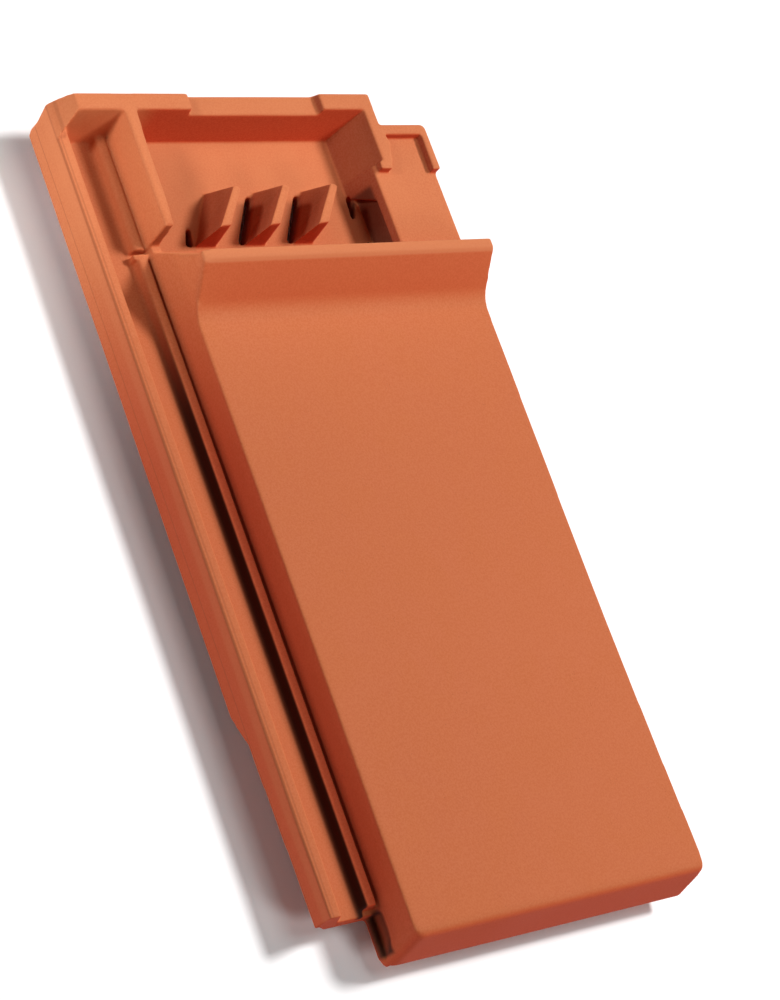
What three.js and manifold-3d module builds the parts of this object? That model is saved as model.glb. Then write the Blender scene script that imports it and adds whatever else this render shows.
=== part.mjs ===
// One-piece fired clay roof tile: a flat interlocking ventilation tile.
//
// Left edge: water lock (outer rib, channel, inner rib). Right edge: cover flange with a hanging
// rib that drops into the next tile's channel. Head: raised rim round a sunk ventilation box with
// three oblique vanes beside through slots, shielded by an upswept hood. Foot: full-depth skirt.
//
// Millimetres. In the tile's own working axes x runs across the roof (0 at the field's left edge),
// y runs up the slope (0 at the foot edge) and z stands off the roof (0 at the field's surface).
// The group is shifted so that its origin is the centre of the bounding box, at its lowest level.

import * as THREE from "three";
import { mergeVertices } from "three/addons/utils/BufferGeometryUtils.js";
import Module from "manifold-3d";

// ---- driving dimensions ------------------------------------------------------------------
const FIELD_RIGHT = 194.6; // visible field, left edge to right edge
const HEAD_Y = 457.3; // foot edge of the field to the head face
const FLANK_X = -39.2; // outermost line of the water lock
const UNDER_Z = -31; // underside of the walls and of the box floor
const SKIRT_Z = -27.7; // lowest line of the foot skirt
const SKIRT_OUT = -6.8; // the skirt leans out this far below the foot edge
const FIELD_UNDER = -12.7; // underside of the 12.7 mm thick field
const LOCK_FOOT_Y = 19.2; // foot end of the water lock
const FLOOR_Z = -23.5; // floor of the ventilation box
const RIM_Z = 5.2; // top of the raised rim
const LIP_Z = 22.5; // top of the hood's lip
const HOOD_BACK_FOOT_Y = 377.5;
const FLANGE_THICK = 8.5;
const FLANGE_HEAD_Y = 436.6;
const FLANGE_RIGHT = 194.6;
const BATTEN_NIB_Z = -41.3; // lowest level of the two hanging nibs
const VANE_PITCH = 32.4;
const CORNER_R = 6.1;

// ---- helpers -----------------------------------------------------------------------------
const wasm = await Module();
wasm.setup();

// A closed surface as a solid.
function solid(geometry) {
  geometry.deleteAttribute("normal");
  geometry.deleteAttribute("uv");
  const merged = mergeVertices(geometry, 1e-4);
  return new wasm.Manifold(
    new wasm.Mesh({
      numProp: 3,
      vertProperties: merged.attributes.position.array,
      triVerts: new Uint32Array(merged.index.array),
    }),
  );
}

// Corners are [a, b] or [a, b, radius, segments]; a radius turns the corner into an arc.
function outline(corners) {
  const out = [];
  const n = corners.length;
  corners.forEach(([a, b, r = 0, seg = 4], i) => {
    if (!r) return out.push(new THREE.Vector2(a, b));
    const p = new THREE.Vector2(a, b);
    const u = new THREE.Vector2(...corners[(i + n - 1) % n].slice(0, 2)).sub(p);
    const v = new THREE.Vector2(...corners[(i + 1) % n].slice(0, 2)).sub(p);
    const lu = u.length();
    const lv = v.length();
    u.normalize();
    v.normalize();
    const half = Math.acos(THREE.MathUtils.clamp(u.dot(v), -1, 1)) / 2;
    const t = Math.min(r / Math.tan(half), lu * 0.49, lv * 0.49);
    const rr = t * Math.tan(half);
    const centre = u
      .clone()
      .add(v)
      .normalize()
      .multiplyScalar(rr / Math.sin(half))
      .add(p);
    const start = u.clone().multiplyScalar(t).add(p).sub(centre);
    const end = v.clone().multiplyScalar(t).add(p).sub(centre);
    const a0 = start.angle();
    let sweep = end.angle() - a0;
    if (sweep > Math.PI) sweep -= 2 * Math.PI;
    if (sweep < -Math.PI) sweep += 2 * Math.PI;
    for (let k = 0; k <= seg; k++) {
      const w = a0 + (sweep * k) / seg;
      out.push(new THREE.Vector2(Math.cos(w), Math.sin(w)).multiplyScalar(rr).add(centre));
    }
  });
  return out;
}

const BASES = {
  x: new THREE.Matrix4().makeBasis(
    new THREE.Vector3(0, 1, 0),
    new THREE.Vector3(0, 0, 1),
    new THREE.Vector3(1, 0, 0),
  ),
  y: new THREE.Matrix4().makeBasis(
    new THREE.Vector3(1, 0, 0),
    new THREE.Vector3(0, 0, 1),
    new THREE.Vector3(0, -1, 0),
  ),
  z: new THREE.Matrix4(),
};

// A section run straight along an axis: (y, z) along x, (x, z) along y, (x, y) along z.
function run(axis, corners, from, to) {
  const g = new THREE.ExtrudeGeometry(new THREE.Shape(outline(corners)), {
    depth: to - from,
    bevelEnabled: false,
  });
  g.applyMatrix4(BASES[axis]);
  const shift = axis === "y" ? to : from;
  g.translate(axis === "x" ? shift : 0, axis === "y" ? shift : 0, axis === "z" ? shift : 0);
  return solid(g);
}

// A drafted body: plan `low` at height z0 rises to plan `high` at z1, corner for corner.
function drafted(low, z0, high, z1) {
  const g = new THREE.ExtrudeGeometry(new THREE.Shape(low.map((p) => new THREE.Vector2(...p))), {
    depth: 1,
    bevelEnabled: false,
  });
  const p = g.attributes.position;
  for (let i = 0; i < p.count; i++) {
    const k = low.findIndex(
      ([a, b]) => Math.abs(a - p.getX(i)) < 1e-3 && Math.abs(b - p.getY(i)) < 1e-3,
    );
    if (p.getZ(i) > 0.5) p.setXYZ(i, high[k][0], high[k][1], z1);
    else p.setZ(i, z0);
  }
  return solid(g);
}

function block(x0, y0, z0, x1, y1, z1) {
  const g = new THREE.BoxGeometry(x1 - x0, y1 - y0, z1 - z0);
  g.translate((x0 + x1) / 2, (y0 + y1) / 2, (z0 + z1) / 2);
  return solid(g);
}

// ---- field, skirt and hood ---------------------------------------------------------------
// Side view (y, z): skirt, flat field, flare of the hood, lip, sloping back of the hood.
const sideView = [
  [SKIRT_OUT, SKIRT_Z, 1.41, 2],
  [0, 0, 4.7, 5],
  [330, 0, 16, 7],
  [348.4, 20.7],
  [350.2, LIP_Z, 1.17, 3],
  [355.9, LIP_Z, 1.41, 3],
  [355.4, 16.9, 3.8, 3],
  [374.6, -16.4],
  [HOOD_BACK_FOOT_Y, -22.5],
  [HOOD_BACK_FOOT_Y, UNDER_Z],
  [6.6, UNDER_Z],
];
// End view (x, z): both long sides carry a slight draft.
const endView = [
  [-2.6, -32.9],
  [-1.5, -16],
  [0, 0],
  [-0.5, 10.3],
  [-0.9, 24.4],
  [193.2, 24.4],
  [FIELD_RIGHT, 0],
  [195.1, -32.9],
];
let tile = run("x", sideView, -5.9, 196.9).intersect(
  run("y", endView.slice().reverse(), -9.4, 380.3),
);

// ---- water lock --------------------------------------------------------------------------
const lockView = [
  [-38.8, -31.5, 0.70, 2],
  [FLANK_X, -24.4],
  [-38.3, -9.6, 1.17, 2],
  [-31.5, -9.4, 1.17, 2],
  [-24.6, -22.5, 2.8, 3],
  [-10.8, -22.5, 1.88, 2],
  [-9.6, -16, 1.88, 3],
  [-3.8, -16, 1.17, 2],
  [-3.5, -19.7],
  [-1.2, -19.7],
  [-1.2, -14.1],
  [4.9, -14.1],
  [4.9, -31.5],
];
tile = tile.add(run("y", lockView.slice().reverse(), LOCK_FOOT_Y, 453.1));

// ---- head wall, box walls and floor --------------------------------------------------------
const headWall = [
  [452.1, -31.5, 0.94, 2],
  [454.5, -28.2],
  [454.9, -20.7],
  [458.2, -9.4],
  [HEAD_Y, 0],
  [456.1, RIM_Z, 1.41, 2],
  [446.5, RIM_Z, 0.70, 2],
  [442.7, -24.4],
  [442.7, -31.5],
];
tile = tile.add(run("x", headWall, -38.7, 162.7));
// inside corner of the rim, cut at 45 degrees
tile = tile.add(
  run("z", [[-38.7, 451.6], [-38.7, 437.1], [-29.3, 447.4], [-29.3, 451.6]], -31.5, RIM_Z),
);
// left wall of the box
tile = tile.add(
  drafted(
    [[-2.6, 375.6], [5.4, 375.6], [5.9, 394.4], [5.9, 424.9], [6.8, 441.3], [6.8, 450.7], [-2.6, 450.7]],
    -31.5,
    [[-2.4, 378.9], [2.8, 378.9], [3.9, 394.4], [3.9, 424.9], [4.9, 441.3], [4.9, 450.7], [-2.4, 450.7]],
    5.6,
  ),
);
// floor of the box
tile = tile.add(block(-2.1, 366.2, UNDER_Z, 154.7, 450.7, FLOOR_Z));
// right wall of the box with the flange that leaves it
const rightWallView = [
  [145.3, UNDER_Z],
  [146.2, FLOOR_Z],
  [154.4, 0],
  [156.1, RIM_Z, 0.70, 2],
  [162.7, RIM_Z, 0.94, 2],
  [163.1, -8.5],
  [156.1, -10.3],
  [155.6, UNDER_Z],
];
tile = tile.add(run("y", rightWallView, 413.6, 453.1));
tile = tile.add(
  run(
    "y",
    [[145.3, UNDER_Z], [146.2, FLOOR_Z], [151.4, 0], [163.1, 0], [163.1, -8.5], [156.1, -10.3], [155.6, UNDER_Z]],
    366.2,
    414.1,
  ),
);
// step where the rim of the right wall ends
tile = tile.add(
  run("z", [[157, 415], [153.1, 413.8], [152.6, 409.4], [160.3, 409.2], [165.5, 424.9], [162.2, 437.6], [157, 437.6]], -1.9, RIM_Z),
);
// cover flange and its raised edge
tile = tile.add(
  run(
    "z",
    [[152.8, 347.4], [FLANGE_RIGHT, 347.4], [FLANGE_RIGHT, FLANGE_HEAD_Y, 3.3, 4], [158, FLANGE_HEAD_Y], [158, 414.6], [152.8, 412.7]],
    -FLANGE_THICK,
    0,
  ),
);
tile = tile.add(
  run(
    "z",
    [
      [161.3, FLANGE_HEAD_Y],
      [161.3, 430.5],
      [189.9, 430.5, 0.94, 2],
      [189.4, 408.5],
      [FLANGE_RIGHT, 408.5],
      [FLANGE_RIGHT, FLANGE_HEAD_Y, 3.3, 4],
    ],
    -2.3,
    RIM_Z,
  ),
);

// ---- cuts --------------------------------------------------------------------------------
// the rim is lower along its middle
tile = tile.subtract(
  run("y", [[39.9, 9.4], [41.1, 0], [127, 0], [129.3, 9.4]], 436.6, 464.8),
);
// the rim's left end slopes down to the lock's flank
tile = tile.subtract(
  run("y", [[-48.1, 9.4], [-48.1, -24.7], [-29.8, RIM_Z], [-29.8, 9.4]], 435.7, 464.8),
);
// the flank is relieved below the foot half of the lock
tile = tile.subtract(
  drafted(
    [[-43.4, 9.4], [-27.5, 9.4], [-27.5, 130], [-43.4, 130]],
    -31.9,
    [[-43.4, 9.4], [-35, 9.4], [-35, 112.2], [-43.4, 112.2]],
    -24.4,
  ),
);
tile = tile.subtract(
  run("z", [[-43.4, 9.4], [-37.6, 9.4], [-38, 45.1], [-39.4, 112.2], [-43.4, 112.2]], -37.6, -4.7),
);
// the right edge is drawn in slightly between its ends
const edgeLine = [[408, -30], [407.5, 0], [406.2, 55], [404.8, 102], [403.8, 150], [402.9, 198], [402, 246], [401.6, 295], [401.8, 344], [402.3, 394], [402.9, 444], [403.5, 494], [404, 545], [404.6, 597], [405.3, 648], [406.2, 700], [407, 745]].map(([x, y]) => [(x + 7.5) / 2.13, y / 2.13]);
tile = tile.subtract(
  run("z", [[205.4, -14.1], [205.4, 349.8], ...edgeLine.reverse()], -42.3, 32.9),
);
// hollow below the field and inside the hood
const hollow = [
  [10.3, -37.6],
  [14.1, FIELD_UNDER, 4.7, 3],
  [327.7, FIELD_UNDER],
  [336.2, -7.5],
  [348.4, 5.6, 2.3, 2],
  [352.1, 5.6, 2.3, 2],
  [364.3, -17.8],
  [365.3, -37.6],
];
tile = tile.subtract(run("x", hollow.slice().reverse(), 9.2, 143.4));
// space below the right edge for the next tile's water lock, round the hanging rib
const coverView = [
  [156.1, -37.6],
  [156.1, -10.3, 1.88, 2],
  [172.5, -8.5],
  [173.9, -20.2, 0.94, 2],
  [182.4, -20.2, 0.94, 2],
  [183.8, -8.5],
  [200.7, -8.5],
  [200.7, -37.6],
];
tile = tile.subtract(run("y", coverView, 15, 464.8));

// ---- vanes and through slots -------------------------------------------------------------
for (let i = 0; i < 3; i++) {
  const s = i * VANE_PITCH;
  tile = tile.add(
    drafted(
      [[32.6 + s, 380.3], [47.2 + s, 379.8], [60.3 + s, 403.8], [56.1 + s, 413.1], [50.9 + s, 412.7]],
      -26.3,
      [[36.4 + s, 380.3], [43.4 + s, 380.8], [58.2 + s, 402.3], [56.1 + s, 404], [53.8 + s, 403.8]],
      -0.9,
    ),
  );
}
for (let i = 1; i < 3; i++) {
  const s = i * VANE_PITCH;
  tile = tile.subtract(
    run(
      "z",
      [[30.3 + s, 381.2, 1.41, 2], [34.5 + s, 381.2, 1.41, 2], [51.2 + s, 409.4, 1.41, 2], [46.5 + s, 409.4, 1.41, 2]],
      -42.3,
      -21.6,
    ),
  );
}
tile = tile.subtract(
  run("z", [[28.9, 381.2], [33.1, 381.2], [35.4, 391.5], [32.6, 391.5]], -42.3, -21.6),
);
// recess and wedge-shaped slot at the foot of the right wall
tile = tile.subtract(
  run("x", [[406.6, FLOOR_Z], [395.8, -6.1], [378.4, -6.1], [378.4, FLOOR_Z]], 139.7, 153.8),
);
tile = tile.subtract(block(147.2, 369, FLOOR_Z, 153.8, 378.9, -6.1));
tile = tile.subtract(
  run("z", [[146.5, 408], [145.3, 390.6], [151.9, 406.6]], -42.3, -21.6),
);

// ---- small features ----------------------------------------------------------------------
// break in the inner rib below the box, closed on the field side by a cross bar
tile = tile.subtract(block(-17.1, 374.2, -22.5, -2.8, 376.5, -9.4));
tile = tile.add(block(-12, 371.1, -25.8, 0.7, 374.2, -16.4));
// the inner rib stops short of the lock's foot end
tile = tile.subtract(block(-12.4, 14.1, -22.5, -1.9, 22.1, -9.4));
// hollowed side of the skirt and the small ledge below it
tile = tile.subtract(
  drafted(
    [[-10.6, -4.2], [-0.7, -2.8], [0.7, 6.6], [0.7, LOCK_FOOT_Y], [-10.6, LOCK_FOOT_Y]],
    -26.8,
    [[-10.6, 3.8], [-1.2, 4.7], [-0.7, 9.4], [-0.7, LOCK_FOOT_Y], [-10.6, LOCK_FOOT_Y]],
    -16.9,
  ),
);
tile = tile.add(
  run("z", [[-0.2, -5.6], [1.2, -5.6], [1.2, 21.1], [-3.1, 21.1], [-3.1, -0.5], [-1.2, -4.2]], -31, -27.2),
);

// rounded corner where the left cheek meets the skirt
const cornerPlan = (x, y, r) => [
  [x - 20, y - 20],
  [x + r, y - 20],
  ...[0, 1, 2, 3, 4, 5].map((k) => [
    x + r - r * Math.sin((k * Math.PI) / 10),
    y + r - r * Math.cos((k * Math.PI) / 10),
  ]),
  [x - 20, y + r],
];
tile = tile.subtract(
  drafted(cornerPlan(-2.3, -6.9, CORNER_R), SKIRT_Z - 0.47, cornerPlan(0, -0.2, CORNER_R), 0.47),
);

// ---- hanging nibs ------------------------------------------------------------------------
for (const x of [19.5, 112.4]) {
  tile = tile.add(
    drafted(
      [[x + 1.41, 434.3], [x + 21.1, 434.3], [x + 21.1, 445.1], [x + 1.41, 445.1]],
      BATTEN_NIB_Z,
      [[x, 434.3], [x + 22.5, 434.3], [x + 22.5, 449.8], [x, 449.8]],
      -28.2,
    ),
  );
}

// ---- the mesh ----------------------------------------------------------------------------
const out = tile.getMesh();
const box = tile.boundingBox();
const geometry = new THREE.BufferGeometry();
const xyz = new Float32Array(out.numVert * 3);
for (let i = 0; i < out.numVert; i++)
  for (let k = 0; k < 3; k++) xyz[i * 3 + k] = out.vertProperties[i * out.numProp + k];
geometry.setAttribute("position", new THREE.BufferAttribute(xyz, 3));
geometry.setIndex(new THREE.BufferAttribute(new Uint32Array(out.triVerts), 1));
geometry.computeVertexNormals();

const clay = new THREE.MeshStandardMaterial({ color: 0xc96f47, roughness: 0.8, metalness: 0 });
const roofTile = new THREE.Mesh(geometry, clay);
roofTile.name = "roof_tile";

const model = new THREE.Group();
model.add(roofTile);
model.position.set(
  -(box.min[0] + box.max[0]) / 2,
  -(box.min[1] + box.max[1]) / 2,
  -box.min[2],
);

export default model;
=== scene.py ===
import math

import bmesh
import bpy
import numpy as np
from mathutils import Matrix, Vector


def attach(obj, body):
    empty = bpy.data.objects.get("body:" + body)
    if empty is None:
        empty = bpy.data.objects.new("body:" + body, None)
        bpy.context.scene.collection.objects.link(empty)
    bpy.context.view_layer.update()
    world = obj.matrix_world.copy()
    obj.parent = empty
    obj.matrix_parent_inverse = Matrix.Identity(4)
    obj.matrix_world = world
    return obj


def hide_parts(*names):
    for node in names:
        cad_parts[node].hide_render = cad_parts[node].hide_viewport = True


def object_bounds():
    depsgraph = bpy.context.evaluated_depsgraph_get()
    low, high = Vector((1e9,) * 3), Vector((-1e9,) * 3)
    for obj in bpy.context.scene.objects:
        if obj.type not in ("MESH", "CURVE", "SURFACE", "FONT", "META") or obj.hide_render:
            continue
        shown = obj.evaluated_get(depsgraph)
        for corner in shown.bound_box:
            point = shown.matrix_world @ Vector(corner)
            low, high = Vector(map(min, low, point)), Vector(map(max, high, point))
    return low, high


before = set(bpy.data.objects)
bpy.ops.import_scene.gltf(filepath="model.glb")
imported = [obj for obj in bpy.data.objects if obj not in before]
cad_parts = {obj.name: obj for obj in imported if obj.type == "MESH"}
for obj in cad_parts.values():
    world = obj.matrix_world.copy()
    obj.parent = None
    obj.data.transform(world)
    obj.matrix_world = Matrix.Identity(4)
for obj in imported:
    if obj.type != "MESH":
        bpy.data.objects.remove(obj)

CAD_LO, CAD_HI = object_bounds()
NODE = "roof_tile"

# The tile's own axes: x across from the field's left edge, y up from the foot edge, z off the
# field's surface, in millimetres. OFF moves them to the row frame.
OFF = Vector((-77.86983, -225.88392, 41.31455))


def tile_to_row(x, y, z):
    return (Vector((x, y, z)) + OFF) / 1000


# ---- the fired body: the pressed shape with its edges and inside corners softened --------------
VOXEL = 0.00066
MAX_TRIANGLES = 194000


def mesh_arrays(mesh):
    co = np.empty(len(mesh.vertices) * 3, np.float32)
    mesh.vertices.foreach_get("co", co)
    return co.reshape(-1, 3).astype(np.float64)


def apply_modifiers(obj):
    """The object's mesh with its modifiers, as its own mesh."""
    bpy.context.view_layer.update()
    dg = bpy.context.evaluated_depsgraph_get()
    new = bpy.data.meshes.new_from_object(obj.evaluated_get(dg))
    old = obj.data
    obj.modifiers.clear()
    obj.data = new
    bpy.data.meshes.remove(old)


def smooth_weight(co):
    """How much further than the plain 1 mm each place is softened, 0 to 1."""
    p = co * 1000 - np.array(OFF)
    x, y, z = p[:, 0], p[:, 1], p[:, 2]
    w = np.zeros(len(p))

    def near(d, r):
        return np.clip(1 - d / r, 0, 1)

    # edge between the left cheek and the field, and the foot edge of the field
    cheek = near(np.hypot(x - 0.3, z - 0.0), 6) * (y > -2) * (y < 335)
    w = np.maximum(w, cheek * 0.15)
    front = near(np.hypot(y - 1.5, z + 1.5), 7) * (x > -1)
    w = np.maximum(w, front * 0.25)
    # vertical corner under the field's foot-left corner
    corner = near(np.hypot(x + 0.5, y + 1), 10) * (z < 1) * (z > -16)
    w = np.maximum(w, corner * 0.6)
    # left end of the hood's lip and flare
    lip = near(np.abs(x + 0.5), 7) * (z > 4) * (y > 325)
    w = np.maximum(w, lip)
    return np.clip(w * 1.6, 0, 1)


def laplacian(obj, rounds, weight=None):
    """Rounds off the mesh: each vertex moves halfway to the mean of its neighbours."""
    me = obj.data
    n = len(me.vertices)
    e = np.empty(len(me.edges) * 2, np.int32)
    me.edges.foreach_get("vertices", e)
    e = e.reshape(-1, 2)
    deg = np.bincount(e.ravel(), minlength=n).astype(np.float64)[:, None]
    co = mesh_arrays(me)
    k = 0.5 if weight is None else 0.5 * weight[:, None]
    for _ in range(rounds):
        s = np.empty_like(co)
        for a in range(3):
            s[:, a] = np.bincount(e[:, 0], co[e[:, 1], a], n) + np.bincount(
                e[:, 1], co[e[:, 0], a], n
            )
        co += k * (s / deg - co)
    me.vertices.foreach_set("co", co.astype(np.float32).ravel())
    me.update()


body = bpy.data.objects.new("fired_tile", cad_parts[NODE].data.copy())
bpy.context.scene.collection.objects.link(body)
body.data.materials.clear()
bm = bmesh.new()
bm.from_mesh(body.data)
bmesh.ops.remove_doubles(bm, verts=bm.verts, dist=2e-6)
bmesh.ops.recalc_face_normals(bm, faces=bm.faces)
bm.to_mesh(body.data)
bm.free()

m = body.modifiers.new("voxels", "REMESH")
m.mode = "VOXEL"
m.voxel_size = VOXEL
m.adaptivity = 0
apply_modifiers(body)

laplacian(body, 6)
w = smooth_weight(mesh_arrays(body.data))
laplacian(body, 45, w)

# fired clay is never quite flat: a slow wave of about 0.15 mm, and a fainter shorter one
co = mesh_arrays(body.data)
nrm = np.empty(len(co) * 3, np.float32)
body.data.vertices.foreach_get("normal", nrm)
nrm = nrm.reshape(-1, 3)
rng = np.random.default_rng(7)
wave = np.zeros(len(co))
for size, amp in ((0.16, 0.12), (0.07, 0.04), (0.03, 0.012)):
    for _ in range(5):
        d = rng.normal(size=3)
        d /= np.linalg.norm(d)
        wave += amp / 5 * np.sin(co @ d * (2 * math.pi / size) + rng.uniform(0, 6.28))
co += nrm * (wave[:, None] / 1000)
lo, hi = np.array(CAD_LO) + 2e-5, np.array(CAD_HI) - 2e-5
co = np.clip(co, lo, hi)
body.data.vertices.foreach_set("co", co.astype(np.float32).ravel())
body.data.update()

tris = sum(len(p.vertices) - 2 for p in body.data.polygons)
m = body.modifiers.new("fewer", "DECIMATE")
m.decimate_type = "COLLAPSE"
m.ratio = min(1.0, MAX_TRIANGLES / tris)
m.use_collapse_triangulate = True
apply_modifiers(body)

for p in body.data.polygons:
    p.use_smooth = True
wn = body.modifiers.new("normals", "WEIGHTED_NORMAL")
wn.mode = "FACE_AREA"
wn.weight = 60
wn.keep_sharp = False
body.data.name = "fired_tile"

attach(body, "root")
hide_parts(NODE)


# ---- fired clay ---------------------------------------------------------------------------------
def fired_clay():
    mat = bpy.data.materials.new("fired_clay")
    mat.use_nodes = True
    nt = mat.node_tree
    nt.nodes.clear()
    n, link = nt.nodes, nt.links.new

    def node(kind, **props):
        o = n.new(kind)
        for k, v in props.items():
            setattr(o, k, v)
        return o

    def noise(scale, detail=3.0, rough=0.55, distortion=0.0, vec=None):
        o = node("ShaderNodeTexNoise")
        o.inputs["Scale"].default_value = scale
        o.inputs["Detail"].default_value = detail
        o.inputs["Roughness"].default_value = rough
        o.inputs["Distortion"].default_value = distortion
        link(vec or coord.outputs["Object"], o.inputs["Vector"])
        return o.outputs["Fac"]

    def ramp(fac, stops):
        o = node("ShaderNodeValToRGB")
        cr = o.color_ramp
        while len(cr.elements) > 1:
            cr.elements.remove(cr.elements[-1])
        for i, (pos, col) in enumerate(stops):
            el = cr.elements[0] if i == 0 else cr.elements.new(pos)
            el.position = pos
            el.color = (*col, 1) if len(col) == 3 else col
        link(fac, o.inputs["Fac"])
        return o.outputs["Color"]

    def maths(op, a, b=None, clamp=False):
        o = node("ShaderNodeMath", operation=op, use_clamp=clamp)
        for i, v in enumerate((a, b)):
            if v is None:
                continue
            if isinstance(v, (int, float)):
                o.inputs[i].default_value = v
            else:
                link(v, o.inputs[i])
        return o.outputs[0]

    def mix(fac, a, b, blend="MIX"):
        o = node("ShaderNodeMix", data_type="RGBA", blend_type=blend)
        if isinstance(fac, (int, float)):
            o.inputs["Factor"].default_value = fac
        else:
            link(fac, o.inputs["Factor"])
        for key, v in ((6, a), (7, b)):
            if isinstance(v, tuple):
                o.inputs[key].default_value = (*v, 1)
            else:
                link(v, o.inputs[key])
        return o.outputs[2]

    def maprange(v, a, b, c=0.0, d=1.0, smooth=True):
        o = node("ShaderNodeMapRange", clamp=True)
        o.interpolation_type = "SMOOTHSTEP" if smooth else "LINEAR"
        link(v, o.inputs["Value"])
        for k, x in zip(("From Min", "From Max", "To Min", "To Max"), (a, b, c, d)):
            o.inputs[k].default_value = x
        return o.outputs["Result"]

    coord = node("ShaderNodeTexCoord")
    sep = node("ShaderNodeSeparateXYZ")
    link(coord.outputs["Object"], sep.inputs[0])
    nsep = node("ShaderNodeSeparateXYZ")
    link(coord.outputs["Normal"], nsep.inputs[0])

    # colour: broad tone from the kiln, cloudy mottle, fine sandy grain, dark and pale specks
    broad = noise(7, 2, 0.5)
    cloud = noise(38, 4, 0.6, 0.4)
    grain = noise(900, 3, 0.7)
    fine = noise(2600, 2, 0.6)
    specks = node("ShaderNodeTexVoronoi", feature="F1")
    specks.inputs["Scale"].default_value = 620
    specks.inputs["Randomness"].default_value = 1.0
    link(coord.outputs["Object"], specks.inputs["Vector"])

    colour = ramp(broad, [(0.3, CLAY_A), (0.7, CLAY_B)])
    colour = mix(maprange(cloud, 0.35, 0.7), colour, CLAY_C)
    sandy = maprange(sep.outputs["Y"], 0.06, 0.17, 0.30, 0.55)
    colour = mix(maths("MULTIPLY", maprange(grain, 0.38, 0.62), sandy), colour, CLAY_LIGHT, "MIX")
    colour = mix(maths("MULTIPLY", maprange(fine, 0.62, 0.8), 0.35), colour, CLAY_DARK, "MIX")
    spot = maprange(specks.outputs["Distance"], 0.10, 0.22, 1.0, 0.0)
    some = maprange(noise(160, 1, 0.5), 0.60, 0.70)
    colour = mix(maths("MULTIPLY", maths("MULTIPLY", spot, some), 0.4), colour, CLAY_DARK, "MIX")
    # painted shade: the upright faces are tinted a deeper, darker red than the open top, less towards the head on the
    # left side and more on the left-facing walls inside the box
    up = maprange(nsep.outputs["Z"], 0.15, 0.85)
    headward = maths(
        "MULTIPLY", maprange(sep.outputs["Y"], 0.02, 0.17), maprange(sep.outputs["X"], -0.055, -0.075)
    )
    headward = maths("MULTIPLY", headward, maprange(nsep.outputs["Z"], -0.6, -0.2))
    side = mix(headward, SIDE_SHADE, SIDE_SHADE_HEAD)
    inside = maths(
        "MULTIPLY", maprange(sep.outputs["Y"], 0.116, 0.122), maprange(sep.outputs["X"], -0.078, -0.060)
    )
    inside = maths("MULTIPLY", inside, maprange(nsep.outputs["X"], -0.2, -0.7))
    side = mix(inside, side, SIDE_SHADE_BOX)
    shaded_sides = mix(1.0, colour, side, "MULTIPLY")
    colour = mix(up, shaded_sides, colour)
    # painted shade: faces turned towards the foot are darkened further
    front = maprange(nsep.outputs["Y"], -0.25, -0.85)
    colour = mix(front, colour, mix(1.0, colour, FRONT_SHADE, "MULTIPLY"))
    # painted light: a paler, chalkier tone on the upper faces towards the head, standing in for the brighter light
    # there
    head_light_paint = maths("MULTIPLY", maprange(sep.outputs["Y"], 0.09, 0.19), maths("MAXIMUM", up, headward))
    head_light_paint = maths("MULTIPLY", head_light_paint, maprange(cloud, 0.25, 0.7, 0.30, 0.58))
    colour = mix(head_light_paint, colour, CLAY_LIGHT)

    # the outer rib: a pressed line along its upper edge, one on its top, and a paler band below
    wobble = maths("MULTIPLY", maths("SUBTRACT", noise(12, 2, 0.5), 0.5), 0.0009)
    level = maths("ADD", sep.outputs["Z"], wobble)
    across = maths("ADD", sep.outputs["X"], wobble)
    dx = maths("ADD", sep.outputs["X"], 0.1159)
    dz = maths("SUBTRACT", sep.outputs["Z"], 0.0314)
    apart = maths("SQRT", maths("ADD", maths("MULTIPLY", dx, dx), maths("MULTIPLY", dz, dz)))
    edge = maprange(apart, 0.0003, 0.0011, 1.0, 0.0)
    flank = maprange(sep.outputs["X"], -0.1150, -0.1157)
    low_line = maprange(maths("ABSOLUTE", maths("SUBTRACT", level, 0.0183)), 0, 0.00045, 1.0, 0.0)
    low_line = maths("MULTIPLY", low_line, flank)
    top_line = maprange(maths("ABSOLUTE", maths("ADD", across, 0.1139)), 0.0002, 0.0009, 1.0, 0.0)
    top_line = maths("MULTIPLY", top_line, maprange(sep.outputs["Z"], 0.0306, 0.0312))
    lines = maths("MAXIMUM", maths("MAXIMUM", edge, low_line), maths("MULTIPLY", top_line, 0.6))
    band = maths("MULTIPLY", flank, maprange(level, 0.0235, 0.0265))
    colour = mix(maths("MULTIPLY", band, 0.22), colour, CLAY_LIGHT)
    colour = mix(maths("MULTIPLY", lines, 0.5), colour, CLAY_DARK)

    def within(axis, lo, hi, soft):
        v = sep.outputs[axis]
        return maths(
            "MULTIPLY", maprange(v, lo - soft, lo + soft), maprange(v, hi + soft, hi - soft)
        )

    def region(x, y, z, soft=0.0006):
        m = maths("MULTIPLY", within("X", *x, soft), within("Y", *y, soft))
        return maths("MULTIPLY", m, within("Z", *z, soft))

    # painted light: the inner rib's crest is brightened, most towards the foot, where the raised field shades it from
    # the key lamp
    crest_light = region((-0.0872, -0.0806), (-0.204, 0.150), (0.0246, 0.0285), 0.0004)
    crest_light = maths("MULTIPLY", crest_light, maprange(sep.outputs["Y"], 0.11, 0.02))
    colour = mix(crest_light, colour, mix(1.0, colour, CREST_LIGHT, "MULTIPLY"))
    # painted highlight: the hood's lip, and the edge of the field below it, are lightened
    lip = region((-0.09, 0.12), (0.1215, 0.14), (0.0618, 0.0700), 0.0006)
    colour = mix(maths("MULTIPLY", lip, 0.65), colour, CLAY_LIGHT)
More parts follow.
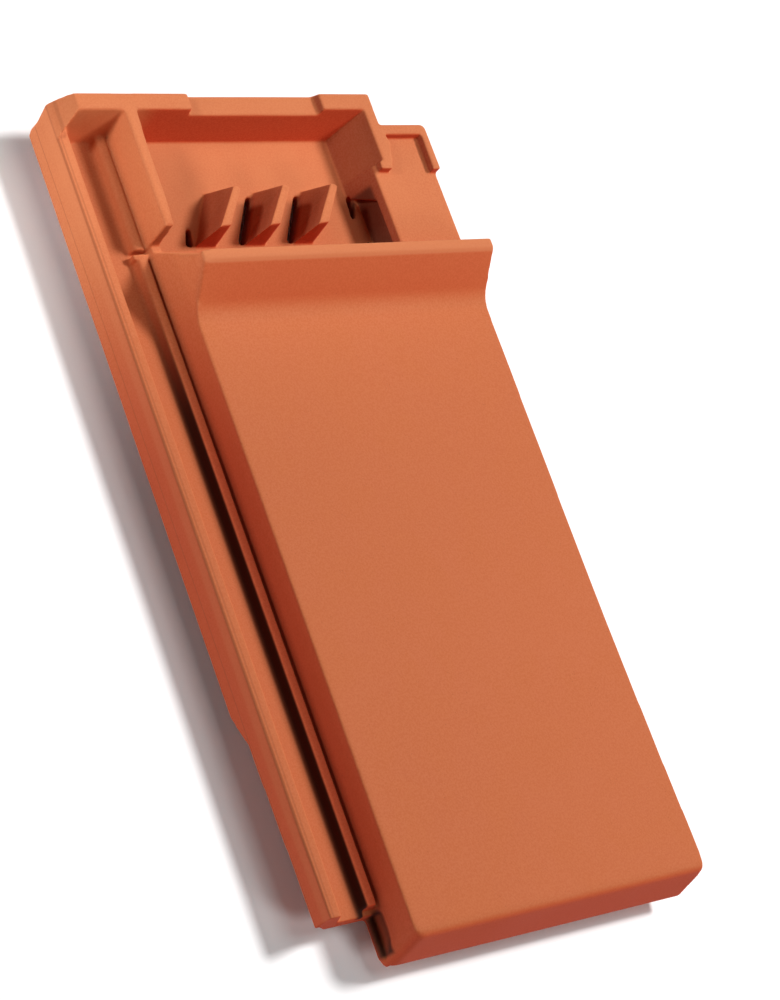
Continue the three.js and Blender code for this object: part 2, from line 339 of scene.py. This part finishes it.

    # painted shade, near black, in the grooves: on the wall of the lock channel that faces the flank, in the hollowed
    # side of the skirt and in the pocket of the box's right wall
    painted_shade = maths("MULTIPLY", maprange(sep.outputs["X"], -0.0922, -0.0886), maprange(sep.outputs["X"], -0.0866, -0.0876))
    painted_shade = maths("MULTIPLY", painted_shade, maprange(sep.outputs["Z"], 0.0256, 0.0244))
    painted_shade = maths("MULTIPLY", painted_shade, maprange(sep.outputs["Y"], 0.15, 0.05))
    painted_shade = maths("MULTIPLY", painted_shade, maprange(sep.outputs["Z"], 0.0150, 0.0170))
    hollow_shade = region((-0.0815, -0.0778), (-0.2272, -0.2055), (0.0118, 0.0220), 0.0014)
    pocket_shade = region((0.0660, 0.0778), (0.1430, 0.1790), (0.0150, 0.0355), 0.0016)
    pocket_shade = maths("MULTIPLY", pocket_shade, maprange(nsep.outputs["X"], -0.1, -0.7))
    painted_shade = maths("MAXIMUM", maths("MULTIPLY", painted_shade, 0.93), maths("MULTIPLY", hollow_shade, 0.85))
    painted_shade = maths("MAXIMUM", painted_shade, maths("MULTIPLY", pocket_shade, 0.6))
    colour = mix(painted_shade, colour, SHADE_DARK)

    # bump: sandy grain, small pits, faint drag lines up the slope
    stretched = node("ShaderNodeMapping")
    stretched.inputs["Scale"].default_value = (260, 14, 260)
    link(coord.outputs["Object"], stretched.inputs["Vector"])
    drag = noise(1.0, 2, 0.5, vec=stretched.outputs["Vector"])
    height = maths("MULTIPLY", grain, 0.55)
    height = maths("ADD", height, maths("MULTIPLY", fine, 0.30))
    height = maths("ADD", height, maths("MULTIPLY", cloud, 0.08))
    height = maths("ADD", height, maths("MULTIPLY", drag, 0.25))
    height = maths("SUBTRACT", height, maths("MULTIPLY", maths("MULTIPLY", spot, some), 0.35))
    height = maths("SUBTRACT", height, maths("MULTIPLY", lines, 0.8))
    bump = node("ShaderNodeBump")
    bump.inputs["Strength"].default_value = 0.45
    bump.inputs["Distance"].default_value = 0.00022
    link(height, bump.inputs["Height"])

    rough = maprange(cloud, 0.3, 0.7, 0.79, 0.84)

    bsdf = node("ShaderNodeBsdfPrincipled")
    bsdf.inputs["Specular IOR Level"].default_value = 0.22
    bsdf.inputs["Diffuse Roughness"].default_value = 0.6
    link(colour, bsdf.inputs["Base Color"])
    link(rough, bsdf.inputs["Roughness"])
    link(bump.outputs["Normal"], bsdf.inputs["Normal"])
    out = node("ShaderNodeOutputMaterial")
    link(bsdf.outputs[0], out.inputs["Surface"])
    return mat


def srgb(r, g, b):
    return tuple(
        c / 12.92 if c <= 0.04045 else ((c + 0.055) / 1.055) ** 2.4
        for c in (r / 255, g / 255, b / 255)
    )


CLAY_A = srgb(197, 106, 62)
CLAY_B = srgb(199, 108, 64)
CLAY_C = srgb(198, 108, 63)
CLAY_LIGHT = srgb(212, 130, 85)
CLAY_DARK = srgb(150, 74, 44)
# the side and front tints and the near-black colour below are painted shade; the crest tint is painted light
SIDE_SHADE = (1.0, 0.62, 0.64)
SIDE_SHADE_HEAD = (1.0, 1.0, 1.0)
SIDE_SHADE_BOX = (0.66, 0.50, 0.56)
FRONT_SHADE = (0.96, 0.66, 0.52)
SHADE_DARK = srgb(34, 16, 14)
CREST_LIGHT = (1.38, 1.02, 1.10)
body.data.materials.append(fired_clay())

# ---- floor, light, camera -----------------------------------------------------------------------
floor_mesh = bpy.data.meshes.new("floor")
floor_mesh.from_pydata([(-6, -6, 0), (6, -6, 0), (6, 6, 0), (-6, 6, 0)], [], [(0, 1, 2, 3)])
floor = bpy.data.objects.new("floor", floor_mesh)
floor.location.z = -0.0002
bpy.context.scene.collection.objects.link(floor)
fm = bpy.data.materials.new("floor")
fm.use_nodes = True
fb = fm.node_tree.nodes["Principled BSDF"]
fb.inputs["Base Color"].default_value = (0.93, 0.93, 0.93, 1)
fb.inputs["Roughness"].default_value = 0.9
floor.data.materials.append(fm)


def lamp(name, place, target, size, watts, colour=(1, 1, 1)):
    d = bpy.data.lights.new(name, "AREA")
    d.shape = "DISK"
    d.size = size
    d.energy = watts
    d.color = colour
    o = bpy.data.objects.new(name, d)
    o.location = place
    o.visible_camera = False
    o.rotation_euler = (Vector(target) - Vector(place)).to_track_quat("-Z", "Y").to_euler()
    bpy.context.scene.collection.objects.link(o)


lamp("key", (1.05, 0.15, 1.8), (0, 0, 0.02), 0.45, 44)
lamp("top", (0.2, -0.2, 2.2), (0, 0, 0.02), 1.0, 8)
lamp("foot", (0.5, -1.5, 1.3), (0, 0, 0.02), 0.7, 9)
lamp("left_low", (-0.9, 0.15, 0.2), (-0.1, 0.02, 0.02), 0.25, 2.6)
head = bpy.data.lights.new("head", "SPOT")
head.energy = 6
head.spot_size = math.radians(14)
head.spot_blend = 1.0
head.shadow_soft_size = 0.2
head_lamp = bpy.data.objects.new("head", head)
head_lamp.location = (0.85, 0.25, 1.6)
head_lamp.rotation_euler = (
    (Vector((-0.04, 0.19, 0.02)) - head_lamp.location).to_track_quat("-Z", "Y").to_euler()
)
bpy.context.scene.collection.objects.link(head_lamp)
near_head = bpy.data.lights.new("head_left", "SPOT")
near_head.energy = 15
near_head.spot_size = math.radians(17)
near_head.spot_blend = 1.0
near_head.shadow_soft_size = 0.08
near_head_lamp = bpy.data.objects.new("head_left", near_head)
near_head_lamp.location = (-0.8, 0.3, 0.45)
near_head_lamp.rotation_euler = (
    (Vector((-0.105, 0.19, 0.04)) - near_head_lamp.location).to_track_quat("-Z", "Y").to_euler()
)
bpy.context.scene.collection.objects.link(near_head_lamp)

world = bpy.data.worlds.new("studio")
world.use_nodes = True
world.node_tree.nodes["Background"].inputs["Color"].default_value = (1, 1, 1, 1)
world.node_tree.nodes["Background"].inputs["Strength"].default_value = 0.03
bpy.context.scene.world = world
bpy.context.scene.view_settings.view_transform = "Standard"
bpy.context.scene.view_settings.look = "None"

cam_data = bpy.data.cameras.new("camera")
cam_data.lens = 104.4
cam_data.sensor_width = 36
cam_data.clip_start = 0.05
cam = bpy.data.objects.new("camera", cam_data)
bpy.context.scene.collection.objects.link(cam)
right = Vector((0.76420694, -0.33436306, 0.5515334))
up = Vector((0.08611183, 0.90036758, 0.4265243))
back = Vector((-0.63919677, -0.27845928, 0.71685977))
turn = Matrix((right, up, back)).transposed().to_4x4()
place = tile_to_row((-1842.2 + 7.5) / 2.13, -404.5 / 2.13, 2245.7 / 2.13)
cam.matrix_world = Matrix.Translation(place) @ turn
bpy.context.scene.camera = cam

bpy.context.view_layer.update()
dg = bpy.context.evaluated_depsgraph_get()
shown = body.evaluated_get(dg).to_mesh()
print("fired_tile triangles", sum(len(p.vertices) - 2 for p in shown.polygons))
